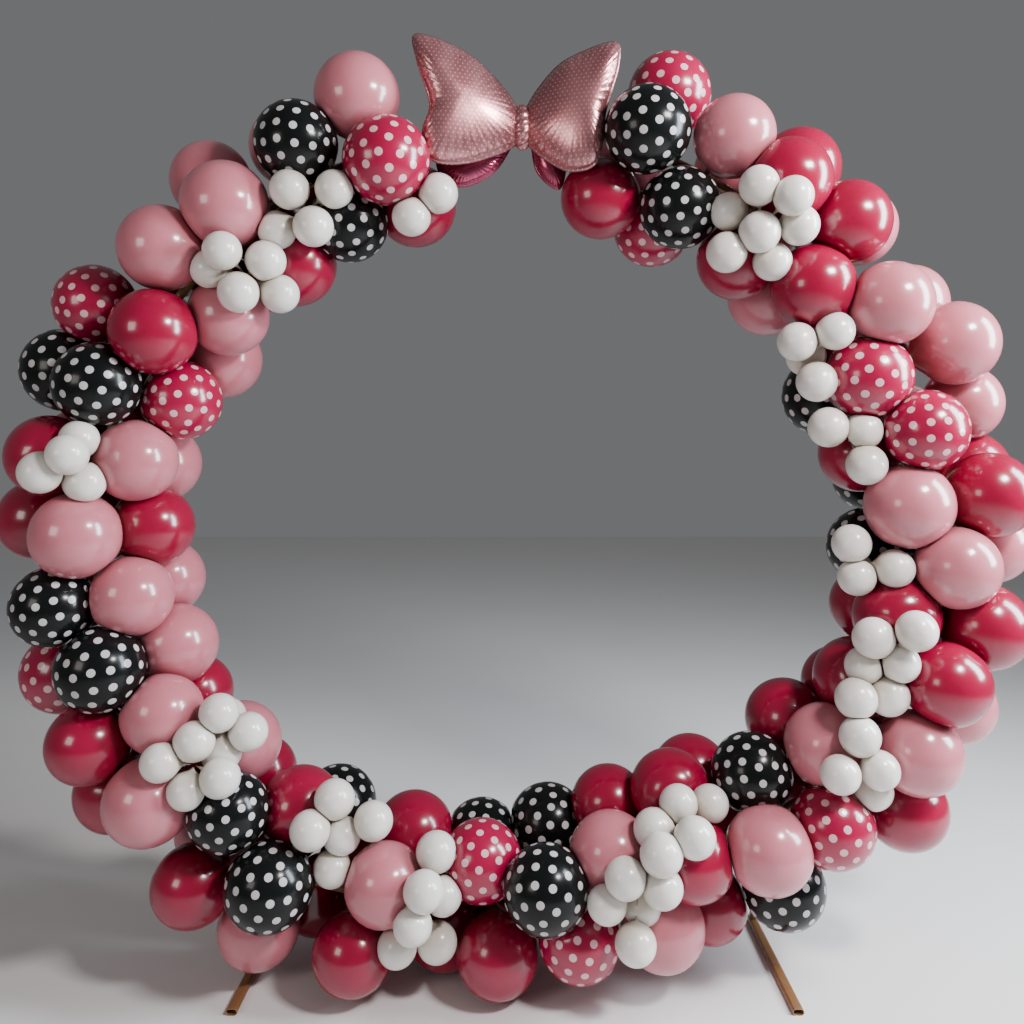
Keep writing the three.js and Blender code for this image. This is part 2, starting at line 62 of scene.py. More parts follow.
camera_data = bpy.data.cameras.new("camera")
camera_data.sensor_width = sensor_width
camera_data.lens = sensor_width * focal_pixels / picture_width
camera_data.shift_x = (picture_width / 2 - middle_pixel) / picture_width
camera_data.shift_y = (horizon_pixel - picture_width / 2) / picture_width
camera = bpy.data.objects.new("camera", camera_data)
camera.location = (tube_middle.x + eye_aside, tube_middle.y - eye_distance, eye_height)
camera.rotation_euler = (math.radians(90), 0, 0)
bpy.context.scene.collection.objects.link(camera)
bpy.context.scene.camera = camera


# Hoop tube: one length of 25 mm steel tube, rolled to an oval and closed on itself. It is painted a
# golden brown, and the paint is scuffed where the balloons have been slid along it.
tube_radius = 0.0125
tube_ring_reach = 2.4 * tube_radius
tube_bends = 4
tube_paint = (0.22, 0.105, 0.04, 1)
tube_paint_worn = (0.34, 0.2, 0.1, 1)
scuff_scale = 22.0
paint_grain_scale = 160.0


class Shade:
    """A link between shader nodes. Sums, differences, products and shares of links add Math nodes."""

    def __init__(self, tree, link=None):
        self.tree = tree
        self.link = link

    def node(self, kind, settings, inputs, output=0):
        made = self.tree.nodes.new(kind)
        for name, value in settings.items():
            setattr(made, name, value)
        for place, value in inputs.items():
            if isinstance(value, Shade):
                self.tree.links.new(value.link, made.inputs[place])
            else:
                made.inputs[place].default_value = value
        return Shade(self.tree, made.outputs[output])

    def maths(self, operation, *values):
        return self.node("ShaderNodeMath", {"operation": operation}, dict(enumerate(values)))

    def mixed(self, first, second):
        """Goes from the first colour to the second as this link goes from 0 to 1."""
        return self.node("ShaderNodeMix", {"data_type": "RGBA"}, {0: self, 6: first, 7: second}, output=2)

    def between(self, low, high):
        """0 where this link is at low, 1 where it is at high, and a soft step from one to the other."""
        settings = {"interpolation_type": "SMOOTHSTEP"}
        return self.node("ShaderNodeMapRange", settings, {0: self, 1: low, 2: high})

    def __add__(self, other):
        return self.maths("ADD", self, other)

    def __sub__(self, other):
        return self.maths("SUBTRACT", self, other)

    def __rsub__(self, other):
        return self.maths("SUBTRACT", other, self)

    def __mul__(self, other):
        return self.maths("MULTIPLY", self, other)

    def __truediv__(self, other):
        return self.maths("DIVIDE", self, other)

    __radd__ = __add__
    __rmul__ = __mul__


def new_material(name, plain):
    """A material with plain values on its shader's sockets, and what its other nodes start from."""
    material = bpy.data.materials.new(name)
    material.use_nodes = True
    shader = material.node_tree.nodes["Principled BSDF"]
    for socket, value in plain.items():
        shader.inputs[socket].default_value = value
    return material, shader, Shade(material.node_tree)


def object_place(shade):
    return shade.node("ShaderNodeTexCoord", {}, {}, output="Object")


def noise(shade, where, scale, detail=3.0):
    return shade.node("ShaderNodeTexNoise", {}, {"Vector": where, "Scale": scale, "Detail": detail})


def drive(shader, **links):
    """Joins links to the shader's sockets, which are named with _ for a space."""
    for socket, shade in links.items():
        shade.tree.links.new(shade.link, shader.inputs[socket.replace("_", " ")])


def painted_tube():
    material, shader, shade = new_material("golden_brown_paint", {"Coat Weight": 0.3})
    where = object_place(shade)
    wear = noise(shade, where, scuff_scale).between(0.5, 0.72)
    drive(
        shader,
        Base_Color=wear.mixed(tube_paint, tube_paint_worn),
        Metallic=wear * 0.5 + 0.1,
        Roughness=wear * -0.12 + 0.46,
        Normal=shade.node("ShaderNodeBump", {}, {
            "Strength": 0.25,
            "Distance": 0.001,
            "Height": noise(shade, where, paint_grain_scale),
        }),
    )
    return material


tube_material = painted_tube()


def corners_of(node):
    """The corners of a solid, each once: its mesh is loose triangles that don't share them."""
    points = np.array([vertex.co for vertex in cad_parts[node].data.vertices])
    return np.unique(np.round(points, 5), axis=0)


def hoop_line_points():
    """The tube's middle line: the middle of each ring of its solid's corners, in order round the hoop."""
    corners = corners_of("hoop_tube")
    same_ring = np.linalg.norm(corners[:, None] - corners, axis=2) < tube_ring_reach
    middles = same_ring @ corners / same_ring.sum(1)[:, None]
    middles = np.unique(np.round(middles, 4), axis=0)
    from_middle = middles - middles.mean(0)
    return middles[np.argsort(np.arctan2(from_middle[:, 2], from_middle[:, 0]))]


hoop_line = hoop_line_points()
hoop_steps = np.roll(hoop_line, -1, axis=0) - hoop_line


def nearest_on_hoop(place):
    """The point of the hoop's line that is nearest to a place, and the way the line runs there."""
    shares = np.clip(((place - hoop_line) * hoop_steps).sum(1) / (hoop_steps ** 2).sum(1), 0, 1)
    points = hoop_line + shares[:, None] * hoop_steps
    best = np.argmin(np.linalg.norm(points - place, axis=1))
    return points[best], hoop_steps[best] / np.linalg.norm(hoop_steps[best])


def new_piece(name, shape, materials, replaced):
    """Turns a bmesh into an object that rides on the part and stands for a solid."""
    mesh = bpy.data.meshes.new(name)
    shape.to_mesh(mesh)
    shape.free()
    for material in materials:
        mesh.materials.append(material)
    return dressed(bpy.data.objects.new(name, mesh), replaced)


def dressed(piece, replaced):
    """Puts a piece in the scene, on the part's one body, and hides the solid that it stands for."""
    bpy.context.scene.collection.objects.link(piece)
    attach(piece, "root")
    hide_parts(replaced)
    return piece


def round_tube_along(name, points, radius):
    """A round tube on a smooth closed line through the points, as a mesh."""
    curve = bpy.data.curves.new(name, "CURVE")
    curve.dimensions = "3D"
    curve.bevel_depth = radius
    curve.bevel_resolution = 5
    curve.resolution_u = tube_bends
    line = curve.splines.new("BEZIER")
    line.bezier_points.add(len(points) - 1)
    line.use_cyclic_u = True
    for knot, point in zip(line.bezier_points, points):
        knot.co = point
        knot.handle_left_type = "AUTO"
        knot.handle_right_type = "AUTO"
    maker = bpy.data.objects.new(name, curve)
    mesh = bpy.data.meshes.new_from_object(maker)
    bpy.data.objects.remove(maker)
    mesh.polygons.foreach_set("use_smooth", [True] * len(mesh.polygons))
    return mesh


tube_mesh = round_tube_along("hoop_tube_round", hoop_line, tube_radius)
tube_mesh.materials.append(tube_material)
dressed(bpy.data.objects.new("hoop_tube_round", tube_mesh), "hoop_tube")


# Feet: a flat oval floor tube from front to back, open at both ends, with a round strut welded to its
# back end. The strut rises forwards to a two-bolt clamp that grips the hoop tube.
floor_tube_width = 0.031
floor_tube_height = 0.018
floor_tube_wall = 0.002
strut_radius = 0.0125
clamp_radius = 0.0152
clamp_wall = 0.0035
clamp_length = 0.03
bolt_radius = 0.0045
bolt_height = 0.008
sheared_edge = 0.0006

# The feet's rods, which the lowest balloons are pressed flat on: start, end and radius.
foot_rods = []


def turned_to(way):
    """A turn that takes +Z to the given way."""
    return Vector(way).to_track_quat("Z", "Y").to_matrix().to_4x4()


def add_rod(shape, start, end, radius, segments):
    bmesh.ops.create_cone(
        shape,
        cap_ends=True,
        segments=segments,
        radius1=radius,
        radius2=radius,
        depth=(end - start).length,
        matrix=Matrix.Translation((start + end) / 2) @ turned_to(end - start),
    )


def foot_shape(node):
    corners = corners_of(node)
    on_floor = corners[corners[:, 2] < 0.001]
    middle = (on_floor[:, 0].min() + on_floor[:, 0].max()) / 2
    front = on_floor[:, 1].min()
    back = on_floor[:, 1].max()
    clamp_guess = np.array([middle, hoop_line[0, 1], corners[:, 2].max() - clamp_length / 2])
    clamp_place, tube_way = (Vector(vector) for vector in nearest_on_hoop(clamp_guess))
    shape = bmesh.new()

    # The floor tube: a slot-shaped rim drawn backwards, then given its wall.
    bend = floor_tube_height / 2
    rim = bmesh.ops.create_circle(shape, segments=40, radius=bend)["verts"]
    for corner in rim:
        corner.co.x += math.copysign(floor_tube_width / 2 - bend, corner.co.x)
    upright = Matrix.Translation((middle, front, bend)) @ Matrix.Rotation(math.radians(90), 4, "X")
    bmesh.ops.transform(shape, matrix=upright, verts=rim)
    rim_edges = list({edge for corner in rim for edge in corner.link_edges})
    drawn = bmesh.ops.extrude_edge_only(shape, edges=rim_edges)["geom"]
    far_rim = [item for item in drawn if isinstance(item, bmesh.types.BMVert)]
    bmesh.ops.translate(shape, vec=(0, back - front, 0), verts=far_rim)
    bmesh.ops.recalc_face_normals(shape, faces=shape.faces)
    bmesh.ops.solidify(shape, geom=shape.faces[:], thickness=floor_tube_wall)

    # The strut, from the floor tube's back end up to the clamp.
    heel = Vector((middle, back - strut_radius, bend))
    strut_top = clamp_place - (clamp_place - heel).normalized() * (clamp_radius + clamp_wall / 2)
    add_rod(shape, heel, strut_top, strut_radius, 32)
    foot_rods.append((np.array(heel), np.array(strut_top), strut_radius))
    foot_rods.append((np.array((middle, front, bend)), np.array(heel), floor_tube_width / 2))

    # The clamp: a sleeve round the hoop tube, with two bolt heads.
    sleeve = bmesh.ops.create_cone(
        shape,
        cap_ends=False,
        segments=36,
        radius1=clamp_radius,
        radius2=clamp_radius,
        depth=clamp_length,
        matrix=Matrix.Translation(clamp_place) @ turned_to(tube_way),
    )["verts"]
    sleeve_faces = list({face for corner in sleeve for face in corner.link_faces})
    bmesh.ops.solidify(shape, geom=sleeve_faces, thickness=-clamp_wall)

    across = tube_way.cross(Vector((0, 1, 0))).normalized()
    for along in (-clamp_length / 4, clamp_length / 4):
        seat = clamp_place + tube_way * along + across * clamp_radius
        add_rod(shape, seat, seat + across * bolt_height, bolt_radius, 6)
    for face in shape.faces:
        face.smooth = len(face.verts) == 4
    return shape


for side in ("right", "left"):
    node = f"foot_{side}"
    foot = new_piece(f"foot_{side}_finished", foot_shape(node), [tube_material], node)
    edges = foot.modifiers.new("soft_edges", "BEVEL")
    edges.width = sheared_edge
    edges.segments = 2


# Garland: 11 inch latex balloons, tied neck to neck in threes and fours and pushed together on the
# tube, so that each is flat against the next. They are crimson, pale pink, crimson printed with pale
# dots and black printed with pale dots.
balloon_gap = 0.0003
facet_swell = 1.08
facet_rings = [(0, 1, 0), (50, 5, 0), (100, 5, 0.5), (150, 3, 0)]
usual_radius = 0.114
balloon_segments = 44
balloon_rings = 30
crease_softness = 0.012
collar_radius = 0.017
wound_neck_radius = 0.0055
balloon_reach = 1.2
floor_clearance = 0.002
rod_clearance = 0.001
colour_start = math.radians(29)

# One letter for each balloon of a cluster: R crimson, P pink, D crimson with dots, K black with dots.
# The order goes round the tube: from the outer front outwards, to the back, inwards and to the front.
colour_plan = (
    "DPRK PPDK RPRR RPPR PRP PRKD PPRD RRKP PRKP RPRR PPRR PRP "
    "RRP PRD KRKP RRRR PRRP DRKK RRKD RPR RPRP RK PRRK RPRK "
    "RRPP RKRP DRPK RPPK RRRP RRPP KRDK DRPR RRPP PRRP PRKK PPRD"
).split()

# A solid balloon has its corners on these rays out of its centre, as rings round its own axis.
facet_directions = np.array([
    (math.cos(polar), math.sin(polar) * math.cos(turn), math.sin(polar) * math.sin(turn))
    for polar_degrees, sides, shift in facet_rings
    for polar in [math.radians(polar_degrees)]
    for turn in [2 * math.pi * (step + shift) / sides for step in range(sides)]
])


def unit(vector):
    return vector / np.linalg.norm(vector)


def axes_of(centre, station):
    """A balloon's own axes: from its neck to its crown, and two ways across."""
    crownwards = unit(centre - station)
    forward = np.array([0.0, -1.0, 0.0])
    side = unit(np.cross(crownwards, forward + np.cross(crownwards, forward)))
    return np.array([crownwards, side, np.cross(crownwards, side)])


nearest_skin = 0.025
farthest_skin = 1.15 * usual_radius
no_skin = 9.0


def rays_met(centre, directions, corners, tolerance):
    """The corner that each ray out of a centre meets, whether it is near enough, and how far out it is."""
    arms = corners - centre
    out = arms @ directions.T
    aside = np.sqrt(np.maximum((arms ** 2).sum(1)[:, None] - out ** 2, 0))
    aside[(out < nearest_skin) | (out > farthest_skin)] = no_skin
    met = aside.argmin(0)
    rays = np.arange(len(directions))
    return met, aside[met, rays] < tolerance, out[met, rays]


def centre_of_rays(directions, corners):
    """The point nearest to all the lines that run through the corners along the directions."""
    aside = np.eye(3) - directions[:, :, None] * directions[:, None, :]
    return np.linalg.solve(aside.sum(0), np.einsum("kij,kj->i", aside, corners))


collar_reach = 0.035
skins_start = 0.06
crown_heights = [share * usual_radius for share in (1.08, 0.97, 0.88)]
fewest_rays = 6
ray_tolerance = 0.006


def read_balloons(node, count):
    """Finds the balloons of a faceted cluster: their centres, radii and the place they are tied at."""
    corners = corners_of(node)
    from_tube = np.array([np.linalg.norm(corner - nearest_on_hoop(corner)[0]) for corner in corners])
    station = nearest_on_hoop(corners[from_tube < collar_reach].mean(0))[0]
    left = corners[from_tube > skins_start]
    found = []
    for _ in range(count):
        guesses = [
            station + (corner - station) * (1 - height / np.linalg.norm(corner - station))
            for corner in left
            for height in crown_heights
        ]
        hits = [
            rays_met(guess, facet_directions @ axes_of(guess, station), left, ray_tolerance)[1].sum()
            for guess in guesses
        ]
        if max(hits) > fewest_rays:
            centre = guesses[int(np.argmax(hits))]
            for tolerance in (0.02, 0.01, ray_tolerance, ray_tolerance, ray_tolerance):
                directions = facet_directions @ axes_of(centre, station)
                met, close, out = rays_met(centre, directions, left, tolerance)
                if close.sum() < fewest_rays:
                    break
                centre = centre_of_rays(directions[close], left[met[close]])
            met, close, out = rays_met(centre, facet_directions @ axes_of(centre, station), left, 0.008)
            radius = out[close].max() / facet_swell
            left = np.delete(left, met[close], axis=0)
        else:
            crown = left[np.argmax(np.linalg.norm(left - station, axis=1))]
            centre = crown - unit(crown - station) * facet_swell * usual_radius
            radius = usual_radius
            left = left[np.linalg.norm(left - centre, axis=1) > 1.12 * usual_radius]
        found.append({"centre": centre, "radius": radius, "station": station, "node": node})
    return found


def around_tube(place, station):
    """How far round the tube a place is: 0 straight to the front, a quarter turn straight outwards."""
    arm = place - station
    outwards = np.cross(nearest_on_hoop(station)[1], (0.0, 1.0, 0.0))
    if outwards @ (station - hoop_line.mean(0)) < 0:
        outwards = -outwards
    return math.atan2(arm @ outwards, -arm[1])


def colour_order(ball):
    return (around_tube(ball["centre"], ball["station"]) - colour_start) % math.tau


big_balloons = []
for number, letters in enumerate(colour_plan, start=1):
    cluster = read_balloons(f"balloon_cluster_{number:02d}", len(letters))
    cluster.sort(key=colour_order)
    for ball, letter in zip(cluster, letters):
        ball["colour"] = letter
    big_balloons += cluster

# The little white balloons press on the big ones, so they are read here too. Each is a rough ball of
# twenty sides, all of them set the same way round.
white_swell = 1.1
white_radii = np.linspace(0.051, 0.055, 5)
white_tie_depth = 0.0265
white_farthest = 0.062
white_apart = 0.07
fewest_white_rays = 6
golden = (1 + math.sqrt(5)) / 2
white_directions = np.array([
    unit(np.roll((0.0, first, second * golden), turn))
    for turn in range(3)
    for first in (-1, 1)
    for second in (-1, 1)
])


def read_whites(node):
    """Finds the white balloons of a flower, as the places that most corners point back to."""
    corners = corners_of(node)
    backs = white_directions * white_swell * white_radii[:, None, None]
    guesses = (corners[:, None, None] - backs).reshape(-1, 3)
    arms = corners - guesses[:, None]
    out = arms @ white_directions.T
    aside = (arms ** 2).sum(2)[:, :, None] - out ** 2
    hits = ((aside < 0.001 ** 2) & (out > nearest_skin) & (out < white_farthest)).any(1).sum(1)
    found = []
    while hits.max() > fewest_white_rays:
        centre = guesses[hits.argmax()]
        for _ in range(2):
            met, close, out = rays_met(centre, white_directions, corners, 0.0015)
            centre = centre_of_rays(white_directions[close], corners[met[close]])
        hits[np.linalg.norm(guesses - centre, axis=1) < white_apart] = 0
        found.append({"centre": centre, "radius": out[close].max() / white_swell, "node": node})
    tied_at = np.mean([ball["centre"] for ball in found], axis=0) + (0, white_tie_depth, 0)
    for ball in found:
        ball["station"] = tied_at
        ball["colour"] = "W"
    return found


white_nodes = sorted(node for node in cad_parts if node.startswith("white_flower"))
white_balloons = [ball for node in white_nodes for ball in read_whites(node)]
all_balloons = big_balloons + white_balloons


def nearest_on_rod(place, start, end):
    share = (place - start) @ (end - start) / ((end - start) @ (end - start))
    return start + min(max(share, 0), 1) * (end - start)


def walls_round(ball):
    """The flat places of a balloon: which way each looks from its centre, and how far out it is."""
    centre, radius = ball["centre"], ball["radius"]
    walls = [(np.array((0.0, 0.0, -1.0)), centre[2] - floor_clearance)]
    for other in all_balloons:
        apart = np.linalg.norm(other["centre"] - centre)
        if other is not ball and apart < balloon_reach * (radius + other["radius"]):
            meeting = (apart + (radius ** 2 - other["radius"] ** 2) / apart - balloon_gap) / 2
            walls.append((unit(other["centre"] - centre), meeting))
    on_tube = nearest_on_hoop(centre)[0]
    rods = [(on_tube, tube_radius)]
    rods += [(nearest_on_rod(centre, start, end), thick) for start, end, thick in foot_rods]
    for place, thick in rods:
        apart = np.linalg.norm(place - centre)
        if apart < balloon_reach * radius + thick:
            walls.append((unit(place - centre), apart - thick - rod_clearance))
    return walls


# A balloon is round from its crown down to the shoulder, and tapers from there to a thin neck. The
# sizes are shares of its radius.
shoulder = 0.75 * math.pi
taper_span = 0.2 * math.pi
neck_start = 0.96 * math.pi
taper_end = 1.2
neck_share = 0.08
neck_slope = 0.1


def pear_outline(polar, radius, neck_end):
    """How far along and how far aside the skin is, from the crown at polar 0 to the neck at pi."""
    aside = radius * np.sin(polar)
    along = radius * np.cos(polar)
    share = np.clip((polar - shoulder) / taper_span, 0, 1)
    start = radius * math.sqrt(0.5)
    end = min(taper_end * radius, neck_end - 0.004)
    span = end - start
    thin = neck_share * radius
    taper = (
        (2 * share ** 3 - 3 * share ** 2 + 1) * start
        - (share ** 3 - 2 * share ** 2 + share) * span
        + (3 * share ** 2 - 2 * share ** 3) * thin
        - (share ** 3 - share ** 2) * neck_slope * span
    )
    tail = polar > shoulder
    aside = np.where(tail, taper, aside)
    along = np.where(tail, -(start + share * span), along)
    neck = polar > neck_start
    aside = np.where(neck, 0.8 * thin, aside)
    along = np.where(neck, -neck_end, along)
    return along, np.where(polar > 0.999 * math.pi, 0.0, aside), neck


def random_turn(dice):
    """A turn to any side, worked out from four random numbers."""
    w, x, y, z = unit(dice.normal(size=4))
    return np.array([
        (1 - 2 * (y * y + z * z), 2 * (x * y - w * z), 2 * (x * z + w * y)),
        (2 * (x * y + w * z), 1 - 2 * (x * x + z * z), 2 * (y * z - w * x)),
        (2 * (x * z - w * y), 2 * (y * z + w * x), 1 - 2 * (x * x + y * y)),
    ])


least_facing = 0.01


def add_balloon(shape, ball, segments, rings, neck_end, material_index, dice):
    """One blown-up balloon: a pear with its neck at the place it is tied, pressed flat by the others."""
    made = bmesh.ops.create_uvsphere(shape, u_segments=segments, v_segments=rings, radius=1)["verts"]
    ways = np.array([corner.co for corner in made])
    ways /= np.linalg.norm(ways, axis=1)[:, None]
    polar = np.arccos(np.clip(ways[:, 2], -1, 1))
    turn = np.arctan2(ways[:, 1], ways[:, 0])
    along, aside, neck = pear_outline(polar, ball["radius"], neck_end)
    axes = axes_of(ball["centre"], ball["station"])
    local = np.stack([along, aside * np.cos(turn), aside * np.sin(turn)], axis=1)
    arms = local @ axes
    lengths = np.linalg.norm(arms, axis=1)
    outwards = arms / lengths[:, None]
    reached = lengths.copy()
    softness = crease_softness * ball["radius"] / usual_radius
    for way, out in walls_round(ball):
        facing = outwards @ way
        limit = np.where(facing > least_facing, out / np.maximum(facing, least_facing), no_skin)
        near = np.maximum(softness - np.abs(reached - limit), 0) / softness
        reached = np.minimum(reached, limit) - near ** 2 * softness / 4
    reached[neck] = lengths[neck]
    places = ball["centre"] + outwards * reached[:, None]
    printed = ways @ random_turn(dice)
    print_way = shape.verts.layers.float_vector["print_way"]
    neckwards = shape.verts.layers.float["neckwards"]
    for corner, place, way, angle in zip(made, places, printed, polar):
        corner.co = place
        corner[print_way] = way
        corner[neckwards] = angle / math.pi
    for face in {face for corner in made for face in corner.link_faces}:
        face.material_index = material_index
        face.smooth = True


def balloon_shape():
    """An empty shape whose corners can say where the print and the neck are."""
    shape = bmesh.new()
    shape.verts.layers.float_vector.new("print_way")
    shape.verts.layers.float.new("neckwards")
    return shape


def wound_necks(shape, station):
    """The balloons' necks wound round the tube, as a soft ring that is thicker than the tube."""
    way = Vector(nearest_on_hoop(station)[1])
    outwards = way.cross(Vector((0, 1, 0))).normalized()
    place = Matrix.Translation(Vector(station) + outwards * collar_radius)
    place @= turned_to(way.cross(outwards))
    rim = bmesh.ops.create_circle(shape, segments=12, radius=wound_neck_radius, matrix=place)["verts"]
    edges = list({edge for corner in rim for edge in corner.link_edges})
    bmesh.ops.spin(
        shape,
        geom=rim + edges,
        cent=station,
        axis=way,
        angle=math.tau,
        steps=24,
        use_merge=True,
    )
    bmesh.ops.recalc_face_normals(shape, faces=shape.faces)
    for face in shape.faces:
        face.smooth = True


# The printed dots stand in rows round the balloon, each row turned a little from the one before.
dot_row = math.pi / 8
dots_in_widest_row = 16
dot_stagger = 0.37
dot_radius = math.radians(5.6)
dot_rim = 1.18


def dot_distance(shade):
    """How far a place of the skin is from the nearest printed dot's middle, as an angle."""
    attribute = shade.node("ShaderNodeAttribute", {"attribute_name": "print_way"}, {}, output="Vector")
    way = shade.node("ShaderNodeVectorMath", {"operation": "NORMALIZE"}, {0: attribute})
    x, y, z = (shade.node("ShaderNodeSeparateXYZ", {}, {0: way}, output=axis) for axis in range(3))
    row = shade.maths("FLOOR", shade.maths("ARCCOSINE", z) / dot_row)
    row_polar = (row + 0.5) * dot_row
    row_sine = shade.maths("SINE", row_polar)
    count = shade.maths("ROUND", row_sine * dots_in_widest_row)
    start = row * dot_stagger
    round_share = shade.maths("ARCTAN2", y, x) / math.tau + start
    dot_turn = ((shade.maths("FLOOR", round_share * count) + 0.5) / count - start) * math.tau
    level = shade.maths("COSINE", dot_turn) * x + shade.maths("SINE", dot_turn) * y
    nearness = shade.maths("COSINE", row_polar) * z + row_sine * level
    return shade.maths("ARCCOSINE", shade.maths("MINIMUM", nearness, 0.99999))


def latex(name, skin, neck_skin, dots=None, rim=None, gloss=0.5):
    """Shiny stretched rubber: paler where it is blown thin, deeper at the neck, with printed dots."""
    material, shader, shade = new_material(name, {
        "Specular IOR Level": gloss,
        "Coat Weight": 0.6 * gloss,
        "Coat Roughness": 0.06,
        "Subsurface Weight": 0.12,
        "Subsurface Scale": 0.02,
        "Subsurface Radius": (1.0, 0.4, 0.35),
    })
    where = object_place(shade)
    neckwards = shade.node("ShaderNodeAttribute", {"attribute_name": "neckwards"}, {}, output="Fac")
    cloud = noise(shade, where, 9.0)
    deeper = neckwards.between(0.45, 0.85) * 0.8 + cloud.between(0.35, 0.75) * 0.2
    colour = deeper.mixed(skin, neck_skin)
    if dots:
        distance = dot_distance(shade)
        colour = (1 - distance.between(dot_radius, dot_radius * dot_rim)).mixed(colour, rim)
        colour = (1 - distance.between(dot_radius * 0.9, dot_radius)).mixed(colour, dots)
    drive(
        shader,
        Base_Color=colour,
        Roughness=noise(shade, where, 30.0) * 0.1 + 0.17,
        Normal=shade.node("ShaderNodeBump", {}, {
            "Strength": 0.05,
            "Distance": 0.001,
            "Height": noise(shade, where, 60.0),
        }),
    )
    return material


latex_finishes = {
    "R": ("latex_red", latex("crimson_latex", (0.28, 0.002, 0.032, 1), (0.14, 0.001, 0.01, 1))),
    "P": ("latex_pink", latex("pale_pink_latex", (0.52, 0.165, 0.2, 1), (0.36, 0.085, 0.105, 1))),
    "D": ("latex_red_dotted", latex(
        "crimson_latex_with_dots",
        (0.33, 0.003, 0.045, 1),
        (0.18, 0.001, 0.018, 1),
        dots=(0.72, 0.42, 0.46, 1),
        rim=(0.24, 0.004, 0.02, 1),
    )),
    "K": ("latex_black_dotted", latex(
        "black_latex_with_dots",
        (0.005, 0.006, 0.006, 1),
        (0.003, 0.003, 0.003, 1),
        dots=(0.5, 0.48, 0.48, 1),
        rim=(0.002, 0.002, 0.002, 1),
        gloss=0.18,
    )),
}

dice = np.random.default_rng(11)
for number, letters in enumerate(colour_plan, start=1):
    node = f"balloon_cluster_{number:02d}"
    balls = [ball for ball in big_balloons if ball["node"] == node]
    used = sorted(set(letters))
    shape = balloon_shape()
    wound_necks(shape, balls[0]["station"])
    for ball in balls:
        neck_end = np.linalg.norm(ball["centre"] - ball["station"]) - collar_radius
        finish = used.index(ball["colour"])
        add_balloon(shape, ball, balloon_segments, balloon_rings, neck_end, finish, dice)
    materials = [latex_finishes[letter][1] for letter in used]
    new_piece(f"balloons_{number:02d}", shape, materials, node)


# Flowers: little white balloons of 5 inches, tied together in fours to sixes and tucked into the hoop's
# front between the big ones. They are pearl white, and yellower where they are thick.
white_segments = 28
white_rings = 20


def pearl_latex():
    material, shader, shade = new_material("pearl_white_latex", {
        "IOR": 1.5,
        "Coat Weight": 0.4,
        "Coat Roughness": 0.1,
        "Subsurface Weight": 0.15,
        "Subsurface Scale": 0.015,
        "Subsurface Radius": (1.0, 0.85, 0.7),
    })
    where = object_place(shade)
    neckwards = shade.node("ShaderNodeAttribute", {"attribute_name": "neckwards"}, {}, output="Fac")
    cloud = noise(shade, where, 24.0)
    deeper = neckwards.between(0.35, 0.8) * 0.7 + cloud.between(0.4, 0.8) * 0.3
    drive(
        shader,
        Base_Color=deeper.mixed((0.76, 0.735, 0.69, 1), (0.55, 0.49, 0.4, 1)),
        Roughness=cloud * 0.12 + 0.24,
    )
    return material


pearl_material = pearl_latex()
for node in white_nodes:
    balls = [ball for ball in white_balloons if ball["node"] == node]
    shape = balloon_shape()
    for ball in balls:
        neck_end = max(np.linalg.norm(ball["centre"] - ball["station"]) - 0.006, 0.9 * ball["radius"])
        add_balloon(shape, ball, white_segments, white_rings, neck_end, 0, dice)
    new_piece(f"{node}_balloons", shape, [pearl_material], node)


# Bow: foil film welded flat round each outline and puffed up with air. Two dusty rose lobes and a
# pinched knot are in front of the tube, and two small magenta lobes hang below and behind them.
knot_place = (0.0294, -0.0569, 2.407)
rose_half_depth = 0.055
rose_sweep = 0.09
rose_reach = 0.28
magenta_half_depth = 0.03
magenta_set_back = 0.061
seam_width = 0.006
seam_share = 0.08
seam_thickness = 0.0008
gather_depth = 0.003
coarse_gathers = 41
fine_gathers = 67
knot_pleats = 13
foil_dot_pitch = 0.0125
foil_dot_row = 0.0105
foil_dot_radius = 0.11
foil_dot_edge = 0.17

# Each outline is across and up from the knot's middle in millimetres, clockwise from the front.
rose_left = [
    (-14, -38), (-99, -91), (-184, -117), (-248, -108), (-266, -36), (-247, 37),
    (-280, 140), (-288, 213), (-200, 203), (-110, 155), (-14, 48),
]
rose_right = [
    (14, 48), (84, 142), (150, 180), (249, 199), (258, 136), (223, 21),
    (220, -33), (200, -116), (144, -133), (90, -110), (14, -38),
]
magenta_left = [
    (-30, -22), (-60, -77), (-93, -112), (-143, -137), (-183, -143), (-220, -127),
    (-240, -77), (-205, -47), (-120, -27), (-40, 4),
]
magenta_right = [
    (30, 4), (90, -32), (118, -67), (120, -107), (112, -142), (96, -150), (64, -126), (41, -89),
    (28, -22),
]


def smooth_rim(outline, shares):
    """Points at the given shares of the length of a smooth closed line through the outline."""
    corners = np.array(outline) / 1000
    steps = np.linspace(0, 1, 24, endpoint=False)[:, None]
    line = []
    for index in range(len(corners)):
        before, start, end, after = (corners[(index + step) % len(corners)] for step in (-1, 0, 1, 2))
        line.append(
            start
            + steps * (end - before) / 2
            + steps ** 2 * (2 * before - 5 * start + 4 * end - after) / 2
            + steps ** 3 * (3 * start - before - 3 * end + after) / 2
        )
    line = np.concatenate(line + [corners[:1]])
    run = np.concatenate([[0], np.cumsum(np.linalg.norm(np.diff(line, axis=0), axis=1))])
    return np.stack([np.interp(shares * run[-1], run, line[:, axis]) for axis in (0, 1)], axis=1)


